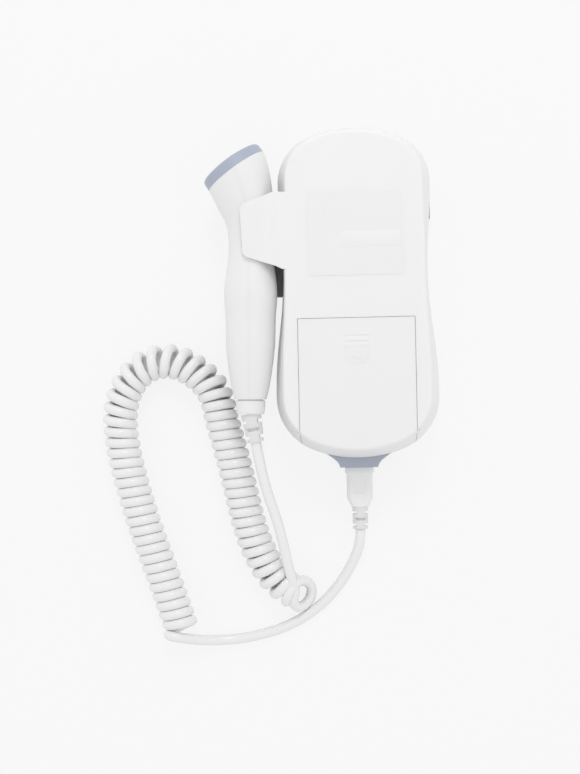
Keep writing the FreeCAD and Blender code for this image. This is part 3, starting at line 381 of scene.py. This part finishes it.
# ------------------------------------------------------------------------------------
# Battery door: the rear cover's plastic from another mould, so a shade off.  Its tongues
# slide in grooves in the rear cover.
# ------------------------------------------------------------------------------------
door_white = moulded("door_white", (0.89, 0.89, 0.89), 0.48, grain=0.16, streak=(1, 0.25, 1), milky=0.15)
dressed("battery_door", "door_panel", "door", door_white)

# ------------------------------------------------------------------------------------
# Label: a blank silvery film in its place above the door, with a blank paper slip that is
# stuck across its lower half.
# ------------------------------------------------------------------------------------
film = moulded("label_film", (0.875, 0.875, 0.875), 0.34, grain=0.03)
dressed("label_plate", "label_film", "unit", film)

label_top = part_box("label_plate")[1].z
slip_size = Vector((0.0246, 0.0062, 0.00006))
slip_sink, slip_edge = 0.00002, 0.00002
slip_place = Vector((0.0060, 0.0204, label_top))
crease = math.radians(35)


def box_piece(name, low, high, corner, segments):
    """A block between two corners with its edges rounded."""
    bpy.ops.object.select_all(action="DESELECT")
    bpy.ops.mesh.primitive_cube_add(size=1, location=(low + high) / 2, scale=high - low)
    piece = bpy.context.object
    piece.name = piece.data.name = name
    bpy.ops.object.transform_apply(location=True, rotation=True, scale=True)
    bpy.ops.object.modifier_add(type="BEVEL")
    piece.modifiers[-1].width = corner
    piece.modifiers[-1].segments = segments
    bpy.ops.object.modifier_apply(modifier=piece.modifiers[-1].name)
    bpy.ops.object.shade_smooth_by_angle(angle=crease)
    return piece


def fixed(piece, body, slot, material, *stands_for):
    """Finish a new piece: its material and the body that it moves with. The slot argument is not used."""
    coat(piece, material)
    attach(piece, body)
    if stands_for:
        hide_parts(*stands_for)


slip_half = Vector((slip_size.x / 2, slip_size.y / 2, 0))
slip = box_piece("paper_slip", slip_place - slip_half - Vector((0, 0, slip_sink)),
                 slip_place + slip_half + Vector((0, 0, slip_size.z)), slip_edge, 2)
paper_white = moulded("paper_white", (0.89, 0.89, 0.89), 0.6, grain=0.2, grain_scale=3000)
fixed(slip, "unit", "label", paper_white)

# ------------------------------------------------------------------------------------
# Bay end: the wall under the battery bay's floor, moulded with the rear cover, that closes
# the case behind the door's skirt.  It follows the skirt's curve and its draft.
# ------------------------------------------------------------------------------------
end_radius, end_half, end_thickness = 0.044, 0.0238, 0.0015
end_low, end_foot = -0.0659, 0.01545
end_centre = (0, end_low + end_radius, end_foot)
end_rise = (0, 0.00098, 0.00495)
bpy.ops.mesh.primitive_circle_add(vertices=360, radius=end_radius, location=end_centre)
bay_end = bpy.context.object
bay_end.name = bay_end.data.name = "bay_end_wall"
bpy.ops.object.transform_apply(location=True, rotation=True, scale=True)
bpy.ops.object.mode_set(mode="EDIT")
bpy.ops.mesh.select_all(action="DESELECT")
bpy.ops.object.mode_set(mode="OBJECT")
for vertex in bay_end.data.vertices:
    vertex.select = abs(vertex.co.x) > end_half or vertex.co.y > end_centre[1]
bpy.ops.object.mode_set(mode="EDIT")
bpy.ops.mesh.delete(type="VERT")
bpy.ops.mesh.select_all(action="SELECT")
bpy.ops.mesh.extrude_region_move(TRANSFORM_OT_translate={"value": end_rise})
bpy.ops.object.mode_set(mode="OBJECT")
bpy.ops.object.modifier_add(type="SOLIDIFY")
bay_end.modifiers[-1].thickness = end_thickness
bay_end.modifiers[-1].offset = 1
bpy.ops.object.modifier_apply(modifier=bay_end.modifiers[-1].name)
bpy.ops.object.shade_smooth_by_angle(angle=crease)
fixed(bay_end, "unit", "shell", white_shell)

# ------------------------------------------------------------------------------------
# Battery bay: steel screws that hold the covers and the main board, brass leaf contacts,
# and the pack in its blue wrap.
# ------------------------------------------------------------------------------------
brush_scale, brush_spread = 900, 0.3


def bright_metal(name, colour, roughness, brush=(1, 1, 1)):
    """Metal with fine marks along one direction."""
    material, nodes, links, shader = new_finish(name)
    shader.inputs["Base Color"].default_value = (*colour, 1)
    shader.inputs["Metallic"].default_value = 1.0
    where = nodes.new("ShaderNodeTexCoord")
    stretch = nodes.new("ShaderNodeMapping")
    stretch.inputs["Scale"].default_value = brush
    links.new(where.outputs["Object"], stretch.inputs["Vector"])
    marks = noise(nodes, links, stretch.outputs["Vector"], brush_scale, 3)
    brushed = ranged(nodes, links, marks, roughness * (1 - brush_spread), roughness * (1 + brush_spread))
    links.new(brushed, shader.inputs["Roughness"])
    return material


steel = bright_metal("screw_steel", (0.62, 0.62, 0.60), 0.32)
dressed("case_screws", "cover_screws", "unit", steel)
dressed("board_screws", "circuit_screws", "unit", steel)
brass = bright_metal("contact_brass", (0.80, 0.62, 0.34), 0.28, brush=(1, 1, 0.1))
dressed("battery_contacts", "leaf_contacts", "unit", brass)
pack_wrap = moulded("pack_wrap", (0.09, 0.19, 0.36), 0.3, grain=0.05, mottle=0.05)
dressed("battery_pack", "battery", "unit", pack_wrap)

# ------------------------------------------------------------------------------------
# Display: a clear acrylic window with a dark border printed on it, let into the front
# cover over the grey-green glass of the screen, which is off.
# ------------------------------------------------------------------------------------
lens_low, lens_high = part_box("display_lens")
border_sides, border_ends, border_edge = 0.0042, 0.0040, 0.00015
window_centre = (lens_low + lens_high) / 2
window_half = ((lens_high.x - lens_low.x) / 2 - border_sides, (lens_high.y - lens_low.y) / 2 - border_ends)


def inside_window(nodes, links):
    """Factor that is 1 inside the clear part of the window and 0 on its printed border."""
    where = nodes.new("ShaderNodeTexCoord")
    centred = nodes.new("ShaderNodeVectorMath")
    centred.operation = "SUBTRACT"
    centred.inputs[1].default_value = window_centre
    links.new(where.outputs["Object"], centred.inputs[0])
    positive = nodes.new("ShaderNodeVectorMath")
    positive.operation = "ABSOLUTE"
    links.new(centred.outputs["Vector"], positive.inputs[0])
    split = nodes.new("ShaderNodeSeparateXYZ")
    links.new(positive.outputs["Vector"], split.inputs["Vector"])
    sides = []
    for axis, half_size in zip("XY", window_half):
        sides.append(ranged(nodes, links, split.outputs[axis], 0, 1, half_size + border_edge, half_size))
    both = nodes.new("ShaderNodeMath")
    both.operation = "MULTIPLY"
    links.new(sides[0], both.inputs[0])
    links.new(sides[1], both.inputs[1])
    return both.outputs["Value"]


border_black, lens_clear = (0.015, 0.018, 0.024), (0.93, 0.95, 0.94)
window, nodes, links, shader = new_finish("display_window")
shader.inputs["IOR"].default_value = 1.49
clear = inside_window(nodes, links)
links.new(blended(nodes, links, clear, border_black, lens_clear), shader.inputs["Base Color"])
links.new(clear, shader.inputs["Transmission Weight"])
where = nodes.new("ShaderNodeTexCoord")
smear = noise(nodes, links, where.outputs["Object"], 120, 2)
links.new(ranged(nodes, links, smear, 0.03, 0.12), shader.inputs["Roughness"])
dressed("display_lens", "window", "unit", window)

screen = moulded("screen_off", (0.20, 0.23, 0.19), 0.25, grain=0.0, mottle=0.02)
dressed("lcd_module", "screen", "unit", screen)

# ------------------------------------------------------------------------------------
# Keys: soft grey silicone tops on one mat, with generic marks printed on them, and the
# small key in the unit's side.
# ------------------------------------------------------------------------------------
silicone = moulded("silicone", (0.36, 0.41, 0.49), 0.62, grain=0.12)
dressed("power_key", "power_button", "power_key", silicone)
dressed("volume_down_key", "volume_down_button", "volume_down_key", silicone)
dressed("volume_up_key", "volume_up_button", "volume_up_key", silicone)
dressed("key_mat", "button_mat", "unit", silicone)
side_grey = moulded("side_grey", (0.42, 0.42, 0.43), 0.5, grain=0.12)
dressed("side_key", "side_button", "side_key", side_grey)

print_depth, print_line = 0.00005, 0.0006
ring_radius, ring_opening = 0.0025, math.radians(64)
stem_length, stem_rise = 0.0022, 0.0015
bar_length = 0.0030
mark_white = moulded("mark_white", (0.82, 0.82, 0.82), 0.5, grain=0.05)


def printed_bar(key, along, across, shift=0.0):
    """A bar of ink on a key's top, in its middle or this far up from there."""
    low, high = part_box(key)
    centre = Vector(((low.x + high.x) / 2, (low.y + high.y) / 2 + shift, low.z))
    reach = Vector((along / 2, across / 2, 0))
    return box_piece("bar", centre - reach - Vector((0, 0, print_depth)),
                     centre + reach + Vector((0, 0, print_depth)), print_depth / 2, 1)


def joined_marks(name, pieces):
    """A key's marks as one piece."""
    take(*pieces)
    bpy.ops.object.join()
    pieces[0].name = pieces[0].data.name = name
    return pieces[0]


def drawn_out(way):
    """Extrude the whole piece in hand this way, and turn its faces outwards."""
    bpy.ops.mesh.select_all(action="SELECT")
    bpy.ops.mesh.extrude_region_move(TRANSFORM_OT_translate={"value": way})
    bpy.ops.mesh.select_all(action="SELECT")
    bpy.ops.mesh.normals_make_consistent(inside=False)
    bpy.ops.object.mode_set(mode="OBJECT")


def power_ring(key):
    """The open ring of the usual power mark: a disc, inset, with its middle and a gap taken out."""
    low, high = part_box(key)
    bpy.ops.object.select_all(action="DESELECT")
    bpy.ops.mesh.primitive_circle_add(vertices=64, radius=ring_radius, fill_type="NGON",
                                      location=((low.x + high.x) / 2, (low.y + high.y) / 2, low.z + print_depth))
    ring = bpy.context.object
    centre = ring.location.copy()
    bpy.ops.object.transform_apply(location=True, rotation=True, scale=True)
    bpy.ops.object.mode_set(mode="EDIT")
    bpy.ops.mesh.select_all(action="SELECT")
    bpy.ops.mesh.inset(thickness=print_line)
    bpy.ops.mesh.delete(type="FACE")
    bpy.ops.mesh.select_mode(type="FACE")
    bpy.ops.mesh.select_all(action="DESELECT")
    bpy.ops.object.mode_set(mode="OBJECT")
    for face in ring.data.polygons:
        place = face.center - centre
        face.select = place.y > 0 and abs(math.atan2(place.x, place.y)) < ring_opening / 2
    bpy.ops.object.mode_set(mode="EDIT")
    bpy.ops.mesh.delete(type="FACE")
    drawn_out((0, 0, -2 * print_depth))
    return ring


power_mark = joined_marks("power_mark", [power_ring("power_key"),
                                         printed_bar("power_key", print_line, stem_length, stem_rise)])
fixed(power_mark, "power_key", "label", mark_white)
minus_mark = joined_marks("minus_mark", [printed_bar("volume_down_key", bar_length, print_line)])
fixed(minus_mark, "volume_down_key", "label", mark_white)
arm_length = (bar_length - print_line) / 2
arm_shift = (print_line + arm_length) / 2
plus_mark = joined_marks("plus_mark", [printed_bar("volume_up_key", bar_length, print_line),
                                       printed_bar("volume_up_key", print_line, arm_length, arm_shift),
                                       printed_bar("volume_up_key", print_line, arm_length, -arm_shift)])
fixed(plus_mark, "volume_up_key", "label", mark_white)

# ------------------------------------------------------------------------------------
# Speaker: a small round speaker behind the grille, with a disc of woven cloth laid over it
# that keeps dust out.
# ------------------------------------------------------------------------------------
dark_plastic = moulded("dark_plastic", (0.035, 0.035, 0.04), 0.45, grain=0.15)
dressed("speaker", "loudspeaker", "unit", dark_plastic)

speaker_low, speaker_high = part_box("speaker")
cloth_rim, cloth_gap, cloth_thickness = 0.001, 0.00003, 0.00008
cloth_radius = (speaker_high.x - speaker_low.x) / 2 - cloth_rim
cloth_place = (0, (speaker_low.y + speaker_high.y) / 2, speaker_low.z - cloth_gap)
bpy.ops.object.select_all(action="DESELECT")
bpy.ops.mesh.primitive_circle_add(vertices=64, radius=cloth_radius, fill_type="NGON", location=cloth_place)
cloth = bpy.context.object
cloth.name = cloth.data.name = "speaker_cloth"
bpy.ops.object.transform_apply(location=True, rotation=True, scale=True)
bpy.ops.object.mode_set(mode="EDIT")
drawn_out((0, 0, -cloth_thickness))

weave, nodes, links, shader = new_finish("speaker_weave")
shader.inputs["Roughness"].default_value = 0.9
where = nodes.new("ShaderNodeTexCoord")
threads = []
for direction in ("X", "Y"):
    thread = nodes.new("ShaderNodeTexWave")
    thread.bands_direction = direction
    thread.inputs["Scale"].default_value = 500
    links.new(where.outputs["Object"], thread.inputs["Vector"])
    threads.append(thread)
crossed = nodes.new("ShaderNodeMath")
crossed.operation = "MAXIMUM"
links.new(threads[0].outputs["Fac"], crossed.inputs[0])
links.new(threads[1].outputs["Fac"], crossed.inputs[1])
gap_black, thread_black = (0.004, 0.004, 0.004), (0.05, 0.05, 0.055)
links.new(blended(nodes, links, crossed.outputs["Value"], gap_black, thread_black), shader.inputs["Base Color"])
bump = nodes.new("ShaderNodeBump")
bump.inputs["Distance"].default_value = grain_depth
links.new(crossed.outputs["Value"], bump.inputs["Height"])
links.new(bump.outputs["Normal"], shader.inputs["Normal"])
fixed(cloth, "unit", "dark_plastic", weave)

# ------------------------------------------------------------------------------------
# Sockets, side switch and circuit boards: black plastic housings, soldered to green
# laminate that shows its tracks.
# ------------------------------------------------------------------------------------
dressed("earphone_socket", "earphone_jack", "unit", dark_plastic)
dressed("charging_socket", "charging_jack", "unit", dark_plastic)
dressed("probe_socket", "probe_connector", "unit", dark_plastic)
dressed("side_switch", "side_switch_body", "unit", dark_plastic)

track_green, laminate_green = (0.06, 0.22, 0.08), (0.02, 0.11, 0.04)
laminate, nodes, links, shader = new_finish("green_laminate")
shader.inputs["Roughness"].default_value = 0.35
where = nodes.new("ShaderNodeTexCoord")
tracks = nodes.new("ShaderNodeTexVoronoi")
tracks.distance = "MANHATTAN"
tracks.feature = "DISTANCE_TO_EDGE"
tracks.inputs["Scale"].default_value = 260
links.new(where.outputs["Object"], tracks.inputs["Vector"])
beside_track = ranged(nodes, links, tracks.outputs["Distance"], 0, 1, 0.05, 0.08)
links.new(blended(nodes, links, beside_track, track_green, laminate_green), shader.inputs["Base Color"])
dressed("main_board", "circuit_board", "unit", laminate)
dressed("probe_board", "probe_circuit", "probe", laminate)

# ------------------------------------------------------------------------------------
# Clip pad: a rubber pad set between the clip's arms against the unit's side, where it
# grips the probe's neck. Its dark grey is painted shade: the deep shadow in the gap between the probe and the
# unit.
# ------------------------------------------------------------------------------------
# The pad's dark grey is painted shade, standing for the deep shadow in the gap between the probe and the unit.
pad_rubber = moulded("pad_rubber", (0.20, 0.20, 0.205), 0.62, grain=0.2)
dressed("cradle_pad", "clip_pad", "unit", pad_rubber)

# ------------------------------------------------------------------------------------
# Probe: two white ABS half shells, a blue-grey face over the two crystals, and a collar on
# the handle's end, where the lead goes in.
# ------------------------------------------------------------------------------------
probe_white = moulded("probe_white", (0.885, 0.885, 0.885), 0.42, grain=0.12, streak=(1, 0.25, 1), milky=0.12)
dressed("probe_outer_shell", "probe_outer_half", "probe", probe_white, angle=40)
dressed("probe_inner_shell", "probe_inner_half", "probe", probe_white, angle=40)
dressed("probe_collar", "probe_end_collar", "probe", probe_white, angle=40)
cap_grey = moulded("cap_grey", (0.42, 0.46, 0.56), 0.42, grain=0.06)
dressed("probe_cap", "probe_face", "probe", cap_grey, angle=40)
crystal = bright_metal("crystal_silver", (0.75, 0.74, 0.70), 0.35)
dressed("transducer_discs", "crystals", "probe", crystal)

# ------------------------------------------------------------------------------------
# Strain reliefs: tapered sleeves of soft white plastic.  Their slots alternate, two at the
# sides, then two at the front and back, so that the cord can bend every way.
# ------------------------------------------------------------------------------------
slot_rows = (0.27, 0.55, 0.82)
slot_share = 0.12
slot_facing, slot_floor = 0.55, 0.55
sleeve_edge = 0.00018


def strain_relief(name, start_radius, tip_radius, length):
    """A tapered sleeve from the origin along -Y, with three rows of slots pressed into it."""
    bpy.ops.object.select_all(action="DESELECT")
    bpy.ops.mesh.primitive_cone_add(vertices=40, radius1=start_radius, radius2=tip_radius, depth=length,
                                    location=(0, -length / 2, 0), rotation=(math.radians(90), 0, 0))
    sleeve = bpy.context.object
    sleeve.name = sleeve.data.name = name
    bpy.ops.object.transform_apply(location=True, rotation=True, scale=True)
    bpy.ops.object.mode_set(mode="EDIT")
    for row in slot_rows:
        for edge in (row - slot_share / 2, row + slot_share / 2):
            bpy.ops.mesh.select_all(action="SELECT")
            bpy.ops.mesh.bisect(plane_co=(0, -edge * length, 0), plane_no=(0, 1, 0))
    bpy.ops.mesh.select_mode(type="FACE")
    for number, row in enumerate(slot_rows):
        bpy.ops.mesh.select_all(action="DESELECT")
        bpy.ops.object.mode_set(mode="OBJECT")
        for face in sleeve.data.polygons:
            inside = abs(face.center.y + row * length) < slot_share * length / 2
            toward = abs(face.normal.x) if number % 2 == 0 else abs(face.normal.z)
            face.select = inside and abs(face.normal.y) < 0.5 and toward > slot_facing
        bpy.ops.object.mode_set(mode="EDIT")
        bpy.ops.mesh.extrude_region_move()
        bpy.ops.transform.resize(value=(slot_floor, 1, slot_floor), center_override=(0, -row * length, 0))
    bpy.ops.mesh.select_all(action="SELECT")
    bpy.ops.mesh.remove_doubles(threshold=0.000001)
    bpy.ops.mesh.normals_make_consistent(inside=False)
    bpy.ops.object.mode_set(mode="OBJECT")
    bpy.ops.object.modifier_add(type="BEVEL")
    sleeve.modifiers[-1].width = sleeve_edge
    sleeve.modifiers[-1].segments = 2
    sleeve.modifiers[-1].limit_method = "ANGLE"
    bpy.ops.object.modifier_apply(modifier=sleeve.modifiers[-1].name)
    bpy.ops.object.shade_smooth_by_angle(angle=crease)
    return sleeve


def set_down(piece, place, turn):
    """Turn a finished piece in the drawing plane and put it in its place, in its mesh."""
    piece.rotation_euler = (0, 0, turn)
    piece.location = place
    take(piece)
    bpy.ops.object.transform_apply(location=True, rotation=True, scale=True)


relief_white = moulded("relief_white", (0.80, 0.80, 0.80), 0.5, grain=0.1)
relief_end = lead_points[0]
relief_lean = math.radians(9)
relief_length = 0.0116
relief_start = relief_end - relief_length * Vector((math.sin(relief_lean), -math.cos(relief_lean), 0))
probe_boot = strain_relief("probe_boot", 0.0042, 0.0033, relief_length)
set_down(probe_boot, relief_start, relief_lean)
fixed(probe_boot, "probe", "probe_white", relief_white, "probe_relief")

plug_low, plug_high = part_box("plug_relief")
plug_boot = strain_relief("plug_boot", 0.0033, 0.0031, plug_high.y - plug_low.y)
set_down(plug_boot, (0, plug_high.y, plug_lead_points[-1].z), 0)
fixed(plug_boot, "unit", "cord_jacket", relief_white, "plug_relief")

# ------------------------------------------------------------------------------------
# Plug: a soft white body with a thumb recess, moulded over a nickel-plated shell that
# goes into the probe's socket.
# ------------------------------------------------------------------------------------
plug_white = moulded("plug_white", (0.91, 0.91, 0.91), 0.5, grain=0.1)
dressed("plug_body", "plug_grip", "unit", plug_white)
nickel = bright_metal("plug_nickel", (0.70, 0.69, 0.66), 0.25, brush=(1, 0.1, 1))
dressed("plug_shell", "plug_contact", "unit", nickel)
